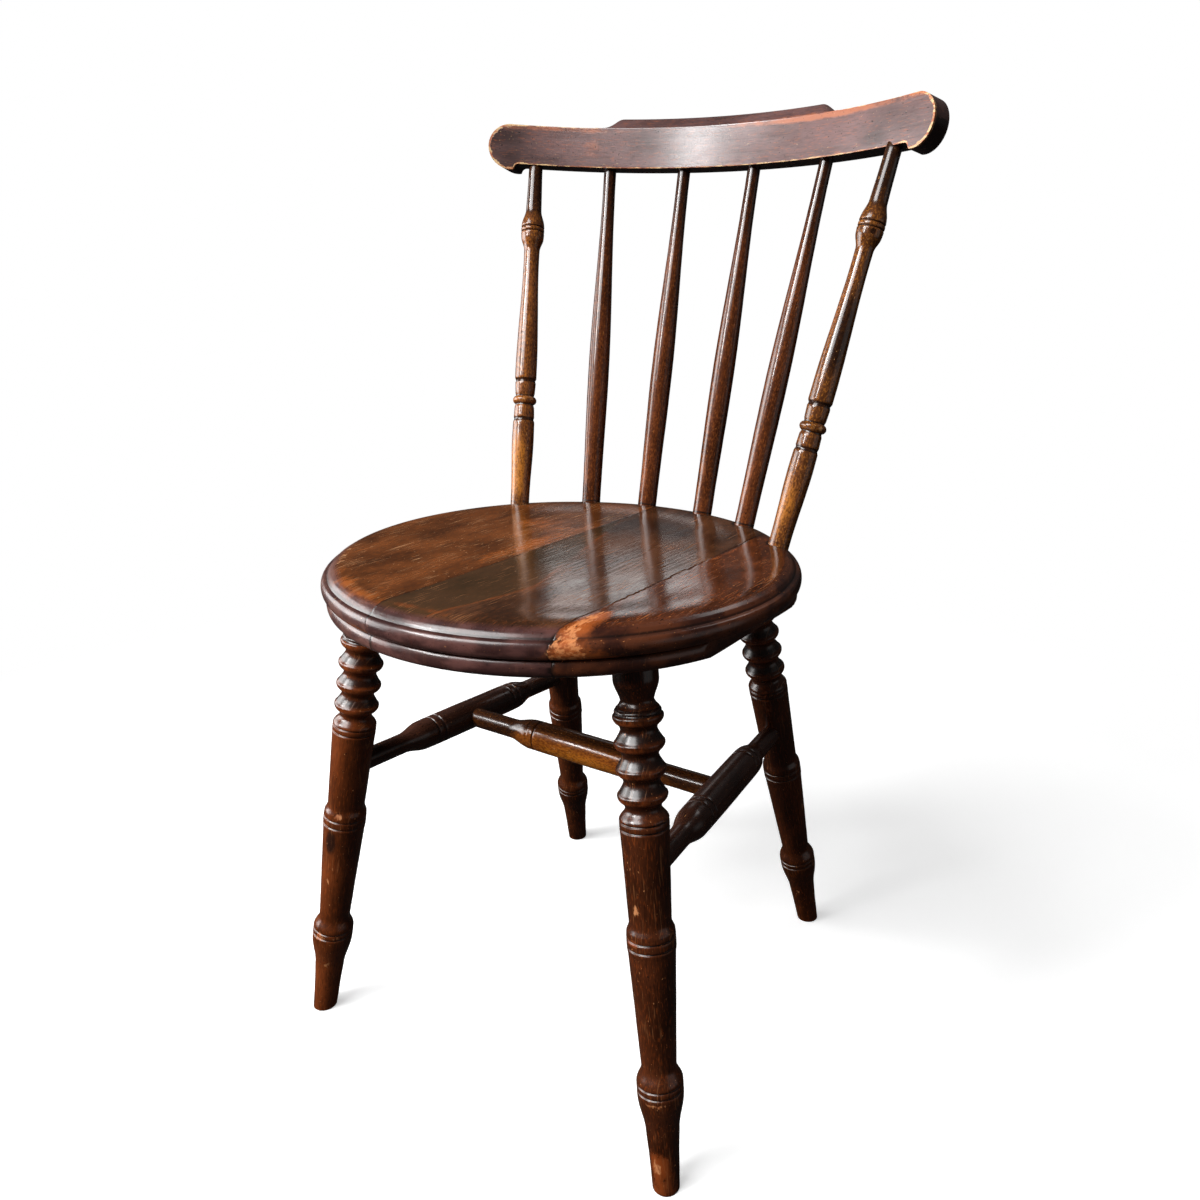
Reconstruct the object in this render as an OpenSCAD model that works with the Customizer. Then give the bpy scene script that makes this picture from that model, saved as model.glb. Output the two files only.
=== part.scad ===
// Round-seated, spindle-backed side chair in turned and glued wood.
// Millimetres. X runs from left to right as seen from the front, the sitter faces -Y,
// and Z is up.
// The chair stands on Z = 0 with its bounding box centred on X = 0 and Y = 0.

/* [Overall] */
// Height of the seat's rim above the floor
seat_h = 450; // [360:1:560]
// Diameter of the round seat
seat_d = 400; // [320:1:500]
// Thickness of the seat at its rim
seat_t = 35; // [28:1:45]
// Height of the crest rail's lower edge above the seat's rim, at the middle
back_h = 321; // [240:1:400]
// Distance of the crest rail's lower edge behind the seat, at the middle
back_set = 51; // [20:1:90]

/* [Seat] */
// Depth of the dished middle of the seat
dish_depth = 4; // [1:0.5:8]
// Width of the rolled rim around the dish
rim_w = 26; // [16:1:40]
// Depth of the upper moulding, from the rim's top to the groove
mould_h = 21; // [18:0.5:24]
// Distance that the lower bead sits in from the upper moulding
bead_in = 3; // [1:0.5:8]
// First glued joint, from the centre line (negative is left)
joint_left = -25; // [-90:1:-5]
// Second glued joint, from the centre line
joint_right = 113; // [60:1:120]
// Turn of the boards and their grain about the vertical, degrees
grain_turn = 2; // [0:0.5:6]
// Depth of the flat along the right board's lower bead
flat_depth = 15; // [4:0.5:20]

/* [Legs] */
// Inset of the front legs' tops from the seat's edge
front_inset = 33; // [26:1:50]
// Direction of the front legs' tops, degrees from straight ahead
front_round = 52.7; // [40:0.1:65]
// Outward splay of the front legs, degrees
front_splay = 10.15; // [4:0.05:14]
// Direction of the front legs' splay, degrees from straight ahead
front_splay_dir = 52.1; // [30:0.1:70]
// Inset of the back legs' tops from the seat's edge
back_inset = 31; // [26:1:50]
// Direction of the back legs' tops, degrees from straight behind
back_round = 42; // [30:0.1:60]
// Backward splay of the back legs, degrees
back_splay = 14.6; // [6:0.05:18]
// Direction of the back legs' splay, degrees from straight behind
back_splay_dir = 23; // [10:0.1:50]
// Radius of a foot at the floor
foot_r = 10.8; // [8:0.1:14]
// Distance of the ankle ring up the leg
ankle_up = 87; // [60:1:110]
// Radius of the ankle ring
ankle_r = 18.1; // [14:0.1:22]
// Distance of the double ring up the leg
ring_up = 206; // [170:1:230]
// Radius of the double ring
ring_r = 18.7; // [15:0.1:23]
// Distance of the collar down from the seat
collar_down = 124; // [114:1:140]
// Radius of the collar
collar_r = 18.6; // [15:0.1:23]
// Distance of the lowest of the four beads down from the seat
bead_down = 101.5; // [94:0.5:108]
// Pitch of the four beads
bead_pitch = 19.7; // [15:0.1:22]
// Radius of the beads
bead_r = 18.9; // [15:0.1:24]
// Radius of the coves between the beads
cove_r = 13.6; // [10:0.1:16]
// Radius of the leg's vase under the seat
vase_r = 16.9; // [14:0.1:20]
// Radius of the tenon into the seat
leg_tenon_r = 11; // [8:0.1:13]
// Length of the tenon into the seat
leg_tenon_l = 22; // [14:1:24]

/* [Stretchers] */
// Drop of the side stretchers' front ends below the seat's underside
stretcher_front_drop = 161; // [140:1:200]
// Drop of the side stretchers' back ends below the seat's underside
stretcher_back_drop = 168; // [140:1:200]
// Radius of a stretcher's middle
stretcher_r = 14.5; // [12:0.1:18]
// Radius of a stretcher's ends
stretcher_end_r = 9.4; // [7:0.1:11]
// Half length of a stretcher's thick middle
stretcher_half = 60; // [40:1:75]
// Length of the shoulder at each end of the thick middle
shoulder_l = 25; // [15:1:40]
// Distance of a stretcher's end from the axis of what it enters
stretcher_stop = 6; // [4:0.5:9]

/* [Back] */
// Inset of the spindles' sockets from the seat's edge
spindle_inset = 13; // [11:0.5:22]
// Direction of the inner spindles' sockets, degrees from straight behind
inner_round = 9.85; // [6:0.05:13]
// Direction of the outer spindles' sockets, degrees from straight behind
outer_round = 28; // [22:0.1:34]
// Direction of the uprights' sockets, degrees from straight behind
upright_round = 50.5; // [42:0.1:56]
// Half spread of the inner spindles at the rail
inner_top = 38; // [25:0.5:50]
// Half spread of the outer spindles at the rail
outer_top = 116; // [90:0.5:135]
// Half spread of the uprights at the rail
upright_top = 188; // [165:0.5:190]
// Radius of a spindle at the seat
spindle_foot_r = 9.3; // [7:0.1:10.5]
// Radius of a spindle's belly
spindle_r = 10.5; // [8:0.1:13]
// Height of a spindle's belly up the spindle
belly_up = 126; // [80:1:170]
// Radius of a spindle at the rail
spindle_top_r = 6.1; // [4:0.1:7.5]
// Radius of an upright at the rail
upright_top_r = 6.9; // [5:0.1:8]
// Radius of an upright's rings
upright_ring_r = 11.6; // [9:0.1:14]
// Distance of the ring pair down from the rail
upright_ring_down = 67; // [50:1:100]
// Height of the small bead up an upright
upright_bead_up = 104; // [90:1:120]

/* [Crest rail] */
// Height of the rail's front face
rail_h = 36.8; // [30:0.1:50]
// Thickness of the rail
rail_t = 21.7; // [18:0.1:28]
// Radius of the rail's front face in plan
rail_r = 441; // [380:1:700]
// Backward tilt of the rail, degrees
rail_tilt = 8; // [0:0.5:15]
// Half spread of the centres of the rail's round ends
ear_x = 207.5; // [195:0.5:215]
// Radius of the rail's round ends
ear_r = 21.3; // [18:0.1:26]
// Turn of the ends' sawn faces from the front-to-back line, degrees
ear_turn = 15; // [0:1:30]
// Radius of the scoop beside each end
scoop_r = 4.6; // [2:0.1:6]
// Rise of the raised middle of the rail
tablet_rise = 10.9; // [4:0.1:16]
// Depth of the chamfer along the raised middle
tablet_set = 10.8; // [4:0.1:14]
// Half length of the raised middle at its top
tablet_half = 105; // [70:1:115]
// Length of the ramp at each end of the raised middle
tablet_ramp = 23; // [10:1:40]
// Distance of the left upright's socket behind the front face
socket_set_left = 8.6; // [7.6:0.1:12]
// Distance of the right upright's socket behind the front face
socket_set_right = 6.1; // [5.5:0.1:12]

/* [Fits] */
// Radial clearance of a tenon in its socket
fit_clear = 0.05; // [0.02:0.01:0.3]
// Clearance at the blind end of a socket
end_clear = 0.3; // [0.1:0.1:1]
// Depth of a spindle in the seat
seat_socket = 16; // [10:1:20]
// Depth of a spindle in the rail
rail_socket = 15; // [10:1:22]

/* [Hidden] */
$fn = 64;
eps = 0.01;
far = 1000;
steps = 10;           // points in one eased curve
bead_round = 0.75;    // fullness of a turned bead
line_w = 1.8;         // width of an incised line
line_d = 1;           // depth of an incised line
own_turn = 35;        // turn of a turned piece about its own axis
chamfer_lip = 0.3;    // step between the rail's shoulders and the chamfer's foot

seat_r = seat_d / 2;
under = seat_h - seat_t;
rail_y0 = seat_r + back_set;
rail_z0 = seat_h + back_h;
rail_top = rail_h + tablet_rise;
y_back = rail_y0 + rail_t * cos(rail_tilt) + rail_top * sin(rail_tilt);
y_shift = (seat_r - y_back) / 2;

wood_dark = "saddlebrown";
wood_red = "sienna";
wood_warm = "peru";

// ---------- turned profiles, as [height, radius] points ----------

// S-curve from a to b, without a itself
function ease(a, b, n = steps) =
    [for (i = [1:n]) [a[0] + (b[0] - a[0]) * i / n,
                      a[1] + (b[1] - a[1]) * (1 - cos(180 * i / n)) / 2]];

// Half-round bead of width w at height z, from radius r0 up to r1
function bead(z, w, r0, r1, n = steps) =
    [for (i = [0:n]) let (u = 2 * i / n - 1)
        [z + w * u / 2, r0 + (r1 - r0) * pow(max(0, 1 - u * u), bead_round)]];

// Incised V line at height z in a surface of radius r
function vline(z, r) = [[z - line_w / 2, r], [z, r - line_d], [z + line_w / 2, r]];

// Solid of revolution about Z through the points
module turned(pts) {
    n = len(pts) - 1;
    rotate_extrude(angle = 360)
        polygon([for (i = [-1:n + 1])
            i < 0 ? [0, pts[0][0]] : i > n ? [0, pts[n][0]] : [pts[i][1], pts[i][0]]]);
}

// Places its child's Z axis along the line from p to q
module along(p, q) {
    d = q - p;
    translate(p)
        rotate([0, acos(d[2] / norm(d)), atan2(d[1], d[0])])
            rotate([0, 0, own_turn])
                children();
}

module shift() {
    translate([0, y_shift, 0])
        children();
}

// ---------- where each turned piece starts and ends ----------

// Point on the leg's axis at height z; side is -1 left or 1 right
function front_top(side) = (seat_r - front_inset) *
    [side * sin(front_round), -cos(front_round), 0] + [0, 0, under];
function back_top(side) = (seat_r - back_inset) *
    [side * sin(back_round), cos(back_round), 0] + [0, 0, under];
function front_at(side, z) = front_top(side) + (under - z) *
    [side * tan(front_splay) * sin(front_splay_dir),
     -tan(front_splay) * cos(front_splay_dir), -1];
function back_at(side, z) = back_top(side) + (under - z) *
    [side * tan(back_splay) * sin(back_splay_dir),
     tan(back_splay) * cos(back_splay_dir), -1];

// Side stretcher from the front leg's axis to the back leg's axis
function side_a(side) = front_at(side, under - stretcher_front_drop);
function side_b(side) = back_at(side, under - stretcher_back_drop);
function side_mid(side) = (side_a(side) + side_b(side)) / 2;

// Socket centre on the seat, ang degrees from straight behind
function seat_point(ang) = [(seat_r - spindle_inset) * sin(ang),
                            (seat_r - spindle_inset) * cos(ang), seat_h];

// Point of the rail given across, behind its front face and above its lower edge
function rail_point(x, behind, z) =
    let (y = sqrt(rail_r * rail_r - x * x) - rail_r + behind)
    [x, rail_y0 + y * cos(rail_tilt) + z * sin(rail_tilt),
     rail_z0 - y * sin(rail_tilt) + z * cos(rail_tilt)];

function stick(ang, top, set) = [seat_point(ang), rail_point(top, set, 0)];

outer_l = stick(-outer_round, -outer_top, rail_t / 2);
inner_l = stick(-inner_round, -inner_top, rail_t / 2);
inner_r = stick(inner_round, inner_top, rail_t / 2);
outer_r = stick(outer_round, outer_top, rail_t / 2);
up_l = stick(-upright_round, -upright_top, socket_set_left);
up_r = stick(upright_round, upright_top, socket_set_right);

// ---------- seat ----------

// Half section of the round seat, from the dished middle out and under
groove_z = -mould_h - 1;
bead_z = (groove_z - seat_t) / 2;
bead_half = (seat_t + groove_z) / 2;
roll_r = seat_r - 2.5;
seat_section = concat(
    [[0, -dish_depth]],
    [for (i = [1:steps]) let (k = i / steps)
        [(seat_r - rim_w) * (0.55 + 0.45 * k),
         -dish_depth + dish_depth * (1 - cos(180 * k)) / 2]],
    [[seat_r - 12.5, 0], [seat_r - 9.5, -0.8], [seat_r - 6.5, -3],
     [seat_r - 4.6, -6.2], [seat_r - 4.4, -7.6], [seat_r - 3.4, -8]],
    [for (a = [60:-24:-60])
        [roll_r + 2.5 * (cos(a) - 0.5) * 2, -(mould_h + 8) / 2 + (mould_h - 8) / 2 * sin(a) * 1.1]],
    [[seat_r - 6.5, -mould_h], [seat_r - 6.5, groove_z]],
    [for (a = [75:-25:-75])
        [seat_r - bead_in - 4 + 4 * cos(a), bead_z + bead_half * sin(a)]],
    [[seat_r - 9, -seat_t], [0, -seat_t]]);

module socket(line, r, depth) {
    along(line[0], line[1])
        translate([0, 0, -depth - end_clear])
            cylinder(h = depth + end_clear + 30, r = r + fit_clear);
}

module leg_socket(p, low) {
    along(p, p + (p - low))
        translate([0, 0, -20])
            cylinder(h = leg_tenon_l + end_clear + 20, r = leg_tenon_r + fit_clear);
}

// Sockets of the six sticks and the four legs
module seat_sockets() {
    for (line = [outer_l, inner_l, inner_r, outer_r, up_l, up_r])
        socket(line, spindle_foot_r, seat_socket);
    for (side = [-1, 1]) {
        leg_socket(front_top(side), front_at(side, 0));
        leg_socket(back_top(side), back_at(side, 0));
    }
}

// Straight flat along the right board's lower bead
module bead_flat() {
    rotate([0, 0, -grain_turn])
        translate([seat_r - bead_in - flat_depth, -seat_r, under - 1])
            cube([seat_d, seat_d, seat_t + groove_z + 1]);
}

// The part of the seat between two joints, x0 and x1 across the grain
module board(x0, x1) {
    shift()
        difference() {
            intersection() {
                translate([0, 0, seat_h])
                    rotate_extrude(angle = 360)
                        polygon(seat_section);
                rotate([0, 0, -grain_turn])
                    translate([x0, -seat_d, under - 1])
                        cube([x1 - x0, 2 * seat_d, seat_t + 2]);
            }
            seat_sockets();
            children();
        }
}

module seat_board_left() {
    color(wood_warm)
        board(-seat_d, joint_left);
}

module seat_board_middle() {
    color(wood_dark)
        board(joint_left, joint_right);
}

module seat_board_right() {
    color(wood_red)
        board(joint_right, seat_d)
            bead_flat();
}

// ---------- legs ----------

// Profile of a leg of length l, foot at 0 and the seat at l
function leg_section(l) = concat(
    [[-8, foot_r - 0.4], [ankle_up - 57, foot_r + 1.1], [ankle_up - 39, foot_r + 2.3]],
    ease([ankle_up - 39, foot_r + 2.3], [ankle_up - 5, ankle_r]),
    vline(ankle_up - 2.5, ankle_r), vline(ankle_up + 3, ankle_r),
    ease([ankle_up + 4, ankle_r], [ankle_up + 17, cove_r]),
    [[ring_up - 9, ring_r - 0.6]],
    vline(ring_up - 3.5, ring_r), vline(ring_up + 3.5, ring_r),
    ease([ring_up + 7, ring_r], [ring_up + 15, ring_r - 2.6], 4),
    [[l - collar_down - 8, collar_r - 0.3]],
    vline(l - collar_down - 2.5, collar_r), vline(l - collar_down + 3, collar_r),
    ease([l - collar_down + 4, collar_r], [l - bead_down - bead_pitch / 2, cove_r], 6),
    [for (i = [0:3]) each
        bead(l - bead_down + i * bead_pitch, bead_pitch - 1.2, cove_r, bead_r)],
    ease([l - bead_down + 3.5 * bead_pitch, cove_r - 1.4], [l - 15, vase_r]),
    [[l, vase_r - 0.5], [l + 8, vase_r - 1]]);

module leg(top, low, stops) {
    l = norm(top - low);
    shift()
        difference() {
            union() {
                intersection() {
                    along(low, top)
                        turned(leg_section(l));
                    translate([-far / 2, -far / 2, 0])
                        cube([far, far, under]);
                }
                along(low, top)
                    translate([0, 0, l - 12])
                        cylinder(h = leg_tenon_l + 12, r = leg_tenon_r);
            }
            for (s = stops)
                along(s[0], s[1])
                    translate([0, 0, stretcher_stop - end_clear])
                        cylinder(h = 40, r = stretcher_end_r + fit_clear);
        }
}

module leg_front_left() {
    color(wood_dark)
        leg(front_top(-1), front_at(-1, 0), [[side_a(-1), side_b(-1)]]);
}

module leg_front_right() {
    color(wood_dark)
        leg(front_top(1), front_at(1, 0), [[side_a(1), side_b(1)]]);
}

module leg_back_left() {
    color(wood_dark)
        leg(back_top(-1), back_at(-1, 0), [[side_b(-1), side_a(-1)]]);
}

module leg_back_right() {
    color(wood_dark)
        leg(back_top(1), back_at(1, 0), [[side_b(1), side_a(1)]]);
}

// ---------- stretchers ----------

// Profile of a stretcher between axes l apart, with a pair of lines at each offset
function stretcher_section(l, lines_a, lines_b) = let (m = l / 2) concat(
    [[stretcher_stop, stretcher_end_r], [m - stretcher_half - shoulder_l, stretcher_end_r]],
    ease([m - stretcher_half - shoulder_l, stretcher_end_r],
         [m - stretcher_half, stretcher_r - 0.4]),
    vline(m - lines_a - 4, stretcher_r - 0.2), vline(m - lines_a + 4, stretcher_r - 0.1),
    [[m, stretcher_r]],
    vline(m + lines_b - 4, stretcher_r - 0.1), vline(m + lines_b + 4, stretcher_r - 0.2),
    ease([m + stretcher_half + 3, stretcher_r - 0.4],
         [m + stretcher_half + shoulder_l, stretcher_end_r]),
    [[l - stretcher_stop, stretcher_end_r]]);

module side_stretcher(side) {
    a = side_a(side);
    b = side_b(side);
    shift()
        difference() {
            along(a, b)
                turned(stretcher_section(norm(b - a), 45.5, 56));
            along(side_mid(side), side_mid(-side))
                translate([0, 0, stretcher_stop - end_clear])
                    cylinder(h = 30, r = stretcher_end_r + fit_clear);
        }
}

module side_stretcher_left() {
    color(wood_dark)
        side_stretcher(-1);
}

module side_stretcher_right() {
    color(wood_dark)
        side_stretcher(1);
}

module cross_stretcher() {
    a = side_mid(-1);
    b = side_mid(1);
    color(wood_warm)
        shift()
            along(a, b)
                turned(stretcher_section(norm(b - a), 56.5, 56.5));
}

// ---------- back ----------

// Profile of a plain spindle, l long between seat and rail
function spindle_section(l) = concat(
    [[-seat_socket, spindle_foot_r], [4, spindle_foot_r]],
    ease([4, spindle_foot_r], [belly_up, spindle_r]),
    ease([belly_up, spindle_r], [l - 12, spindle_top_r], 16),
    [[l + rail_socket, spindle_top_r]]);

module spindle(line) {
    shift()
        along(line[0], line[1])
            turned(spindle_section(norm(line[1] - line[0])));
}

module spindle_outer_left() {
    color(wood_red)
        spindle(outer_l);
}

module spindle_inner_left() {
    color(wood_red)
        spindle(inner_l);
}

module spindle_inner_right() {
    color(wood_red)
        spindle(inner_r);
}

module spindle_outer_right() {
    color(wood_red)
        spindle(outer_r);
}

// Profile of a turned upright: barrel, small bead, barrel, long taper, ring pair, neck
ub = upright_bead_up;
function upright_section(l) = let (t = l - upright_ring_down) concat(
    [[-seat_socket, spindle_foot_r], [4, spindle_foot_r]],
    ease([4, spindle_foot_r], [ub - 38, upright_ring_r - 0.6]),
    [[ub - 22, upright_ring_r - 0.9], [ub - 19.3, upright_ring_r - 2],
     [ub - 17, upright_ring_r - 1.3], [ub - 7, upright_ring_r - 1.7],
     [ub - 4.6, upright_ring_r - 2.6]],
    bead(ub, 8, upright_ring_r - 2.6, upright_ring_r + 0.3, 8),
    [[ub + 4.6, upright_ring_r - 2.6], [ub + 7, upright_ring_r - 1.9],
     [ub + 17.5, upright_ring_r - 1.3], [ub + 20, upright_ring_r - 2],
     [ub + 22.5, upright_ring_r - 0.8], [ub + 30, upright_ring_r - 0.8]],
    ease([ub + 30, upright_ring_r - 0.8], [t - 28, upright_ring_r - 3.9], 12),
    [[t - 19, upright_ring_r - 3.8]],
    ease([t - 19, upright_ring_r - 3.8], [t - 6, upright_ring_r - 0.3], 6),
    vline(t - 1, upright_ring_r), vline(t + 3.5, upright_ring_r),
    ease([t + 6, upright_ring_r - 0.3], [t + 22, upright_top_r + 0.9], 8),
    [[l - 12, upright_top_r], [l + rail_socket, upright_top_r]]);

module upright(line) {
    shift()
        along(line[0], line[1])
            turned(upright_section(norm(line[1] - line[0])));
}

module upright_left() {
    color(wood_warm)
        upright(up_l);
}

module upright_right() {
    color(wood_warm)
        upright(up_r);
}

// ---------- crest rail ----------

// Height of the rail's outline along its length
ramp_end = tablet_half + tablet_ramp;
ramp_points = ease([tablet_half, rail_top], [ramp_end, rail_h], 6);
tablet_outline = concat(
    [[-ear_x, rail_h]],
    [for (i = [5:-1:0]) [-ramp_points[i][0], ramp_points[i][1]]],
    [[-tablet_half, rail_top], [tablet_half, rail_top]],
    ramp_points,
    [[ear_x, rail_h]]);

module ear(side) {
    translate([side * ear_x, sqrt(rail_r * rail_r - ear_x * ear_x) - rail_r, rail_h - ear_r])
        rotate([0, 0, -side * ear_turn])
            rotate([90, 0, 0])
                translate([0, 0, -3 * rail_t])
                    cylinder(h = 6 * rail_t, r = ear_r);
}

// Solid that the rail is cut from, seen from the front
module rail_outline() {
    cut_x = ear_x - ear_r / 2 + scoop_r / 2;
    difference() {
        union() {
            rotate([90, 0, 0])
                translate([0, 0, -far / 2])
                    linear_extrude(far)
                        polygon(concat([[ear_x - 6, 0], [6 - ear_x, 0]], tablet_outline));
            ear(-1);
            ear(1);
        }
        for (side = [-1, 1]) {
            translate([side * (cut_x - 20) - 20, -far / 2, -60])
                cube([40, far, 60]);
            translate([side * cut_x, far / 2, -scoop_r])
                rotate([90, 0, 0])
                    cylinder(h = far, r = scoop_r);
        }
    }
}

module rail_body() {
    translate([0, rail_y0, rail_z0])
        rotate([-rail_tilt, 0, 0])
            intersection() {
                translate([0, -rail_r, -30])
                    rotate([0, 0, 45])
                        rotate_extrude(angle = 90)
                            polygon([[rail_r, 0], [rail_r + rail_t, 0],
                                     [rail_r + rail_t, 30 + rail_top],
                                     [rail_r + tablet_set, 30 + rail_top],
                                     [rail_r, 30 + rail_h + chamfer_lip]]);
                rail_outline();
            }
}

module rail_hole(line, r) {
    along(line[1], line[1] + (line[1] - line[0]))
        translate([0, 0, -30])
            cylinder(h = 30 + rail_socket + end_clear, r = r + fit_clear);
}

module crest_rail() {
    color(wood_dark)
        shift()
            difference() {
                rail_body();
                for (line = [outer_l, inner_l, inner_r, outer_r])
                    rail_hole(line, spindle_top_r);
                for (line = [up_l, up_r])
                    rail_hole(line, upright_top_r);
            }
}

seat_board_left();
seat_board_middle();
seat_board_right();
leg_front_left();
leg_front_right();
leg_back_left();
leg_back_right();
side_stretcher_left();
side_stretcher_right();
cross_stretcher();
upright_left();
upright_right();
spindle_outer_left();
spindle_inner_left();
spindle_inner_right();
spindle_outer_right();
crest_rail();
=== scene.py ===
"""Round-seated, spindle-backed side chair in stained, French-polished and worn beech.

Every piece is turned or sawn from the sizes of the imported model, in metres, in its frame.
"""

import math

import bmesh
import bpy
import numpy as np
from bpy.props import FloatProperty, FloatVectorProperty, PointerProperty
from bpy.types import Operator, Panel, PropertyGroup
from mathutils import Matrix, Vector, noise


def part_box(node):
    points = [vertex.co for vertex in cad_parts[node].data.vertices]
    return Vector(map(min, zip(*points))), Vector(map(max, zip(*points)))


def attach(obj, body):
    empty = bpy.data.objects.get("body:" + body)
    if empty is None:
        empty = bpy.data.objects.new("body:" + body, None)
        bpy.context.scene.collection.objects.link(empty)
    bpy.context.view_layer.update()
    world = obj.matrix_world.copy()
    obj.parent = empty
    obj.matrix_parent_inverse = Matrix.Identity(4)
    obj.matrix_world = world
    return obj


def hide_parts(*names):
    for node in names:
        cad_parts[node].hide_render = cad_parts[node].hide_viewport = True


bl_info = {
    "name": "Spindle-back chair",
    "version": (1, 0, 0),
    "blender": (4, 5, 0),
    "location": "3D View > Sidebar > Chair",
    "description": "Builds the visible pieces of a turned side chair around its packed model",
    "category": "Object",
}

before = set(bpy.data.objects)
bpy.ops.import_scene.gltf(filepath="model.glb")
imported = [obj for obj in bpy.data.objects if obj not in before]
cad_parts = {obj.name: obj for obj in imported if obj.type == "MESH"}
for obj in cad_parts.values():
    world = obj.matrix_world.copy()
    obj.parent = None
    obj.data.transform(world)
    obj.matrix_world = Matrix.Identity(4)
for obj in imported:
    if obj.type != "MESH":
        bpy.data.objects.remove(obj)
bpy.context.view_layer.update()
MM = 0.001
SEAT_NODES = ("seat_board_left", "seat_board_middle", "seat_board_right")
SEAT_LOW = Vector(map(min, *(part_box(n)[0] for n in SEAT_NODES)))
SEAT_HIGH = Vector(map(max, *(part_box(n)[1] for n in SEAT_NODES)))
BOX_SLACK = 1.5 * MM      # how far a piece may stand from the box of what it stands for
SEAT_TENON, RAIL_TENON, LEG_TENON = 16, 15, 22     # hidden ends of the turned pieces, in mm
RING = 999                # half width, in mm, of a mark that runs all the way round
ROLL, GROOVE = 7, 22      # depths under the seat's rim of its roll and of the line below it
MATH, MIX, RANGE = "ShaderNodeMath", "ShaderNodeMix", "ShaderNodeMapRange"


# ---------- small helpers ----------

def linear(code):
    """Linear RGBA of an sRGB hex colour."""
    channels = [int(code[i:i + 2], 16) / 255 for i in (1, 3, 5)]
    return [c / 12.92 if c <= 0.04045 else ((c + 0.055) / 1.055) ** 2.4 for c in channels] + [1.0]


def length(name, millimetres, text):
    """Property for a length, from its default in millimetres."""
    return FloatProperty(name=name, description=text, default=millimetres * MM,
                         min=0, unit="LENGTH", subtype="DISTANCE")


def finish(name, code, text):
    """Property for a colour, from its sRGB hex value."""
    return FloatVectorProperty(name=name, description=text, default=linear(code),
                               size=4, min=0, max=1, subtype="COLOR")


def ease(a, b, n=10):
    """S-curve from a to b, without a itself."""
    return [(a[0] + (b[0] - a[0]) * i / n,
             a[1] + (b[1] - a[1]) * (1 - math.cos(math.pi * i / n)) / 2)
            for i in range(1, n + 1)]


def bead(z, w, r0, r1, n=10):
    """Half-round bead of width w at height z, from radius r0 up to r1."""
    spread = [2 * i / n - 1 for i in range(n + 1)]
    return [(z + w * u / 2, r0 + (r1 - r0) * max(0, 1 - u * u) ** 0.75) for u in spread]


def cut_line(z, r, w=2.2, deep=0.95, n=8):
    """Incised line with round shoulders at height z in a surface of radius r."""
    spread = [2 * i / n - 1 for i in range(n + 1)]
    return [(z + w * u / 2, r - deep * (1 + math.cos(math.pi * u)) / 2) for u in spread]


def smooth_step(value, low, high):
    """0 at low, 1 at high and smooth between; low may be the larger."""
    k = min(1.0, max(0.0, (value - low) / (high - low)))
    return k * k * (3 - 2 * k)


def dab(x, wide, y=0.0, tall=1.0):
    """1 at the middle of a soft patch, falling away with x and y."""
    return math.exp(-(x / wide) ** 2 - (y / tall) ** 2)


def dense(profile, step):
    """The profile with no two points further apart than step, in metres."""
    points = [profile[0]]
    for a, b in zip(profile, profile[1:]):
        n = max(1, math.ceil(math.dist(a, b) / step))
        points += [(a[0] + (b[0] - a[0]) * i / n, a[1] + (b[1] - a[1]) * i / n)
                   for i in range(1, n + 1)]
    return points


def crowns(profile, reach):
    """How far each point of a profile stands over its surroundings, along -1 to 1."""
    spacing, proud = 0.25 * MM, 1.1 * MM
    z = np.array([p[0] for p in profile])
    r = np.array([p[1] for p in profile])
    grid = np.arange(z.min(), z.max(), spacing)
    order = np.argsort(z, kind="stable")
    level = np.interp(grid, z[order], r[order])
    width = max(3, int(reach / spacing))
    kernel = np.hanning(2 * width + 1)
    padded = np.pad(level, width, mode="edge")
    mean = np.convolve(padded, kernel / kernel.sum(), mode="valid")
    return np.clip((r - np.interp(z, grid, mean)) / proud, -1, 1)


def spun(profile, steps):
    """Closed bmesh of (height, radius) points turned about Z."""
    bm = bmesh.new()
    verts = [bm.verts.new((r, 0, z)) for z, r in profile]
    edges = [bm.edges.new(pair) for pair in zip(verts, verts[1:])]
    bmesh.ops.spin(bm, geom=verts + edges, cent=(0, 0, 0), axis=(0, 0, 1),
                   angle=math.tau, steps=steps, use_merge=True)
    bmesh.ops.remove_doubles(bm, verts=bm.verts[:], dist=1e-6)
    bmesh.ops.recalc_face_normals(bm, faces=bm.faces[:])
    return bm


def saw(bm, point, away):
    """Saws off the away side of a plane, closes the cut and returns the cut's edges."""
    cut = bmesh.ops.bisect_plane(bm, geom=bm.verts[:] + bm.edges[:] + bm.faces[:], dist=1e-6,
                                 plane_co=point, plane_no=away, clear_outer=True)
    rim = [e for e in cut["geom_cut"] if isinstance(e, bmesh.types.BMEdge)]
    bmesh.ops.edgeloop_fill(bm, edges=rim)
    return rim


def soften(bm, edges, width, segments=2):
    """Rounds sharp edges over a width in millimetres."""
    bmesh.ops.bevel(bm, geom=edges, offset=width * MM, offset_type="OFFSET", segments=segments,
                    profile=0.5, affect="EDGES", clamp_overlap=True, material=-1)


def layers(bm):
    """Attribute layers that the wood reads.

    grain is the wood's own axes in metres, worn and bare are wear, grime_and_shade is wax and dirt
    with painted shade in places, and on the seat tone is the distance from an edge of the stain in
    mm, and rim is 1 on end grain.
    """
    floats = bm.verts.layers.float
    return (bm.verts.layers.float_vector.new("grain"), floats.new("worn"), floats.new("grime_and_shade"),
            floats.new("bare"), floats.new("tone"), floats.new("rim"))


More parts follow.
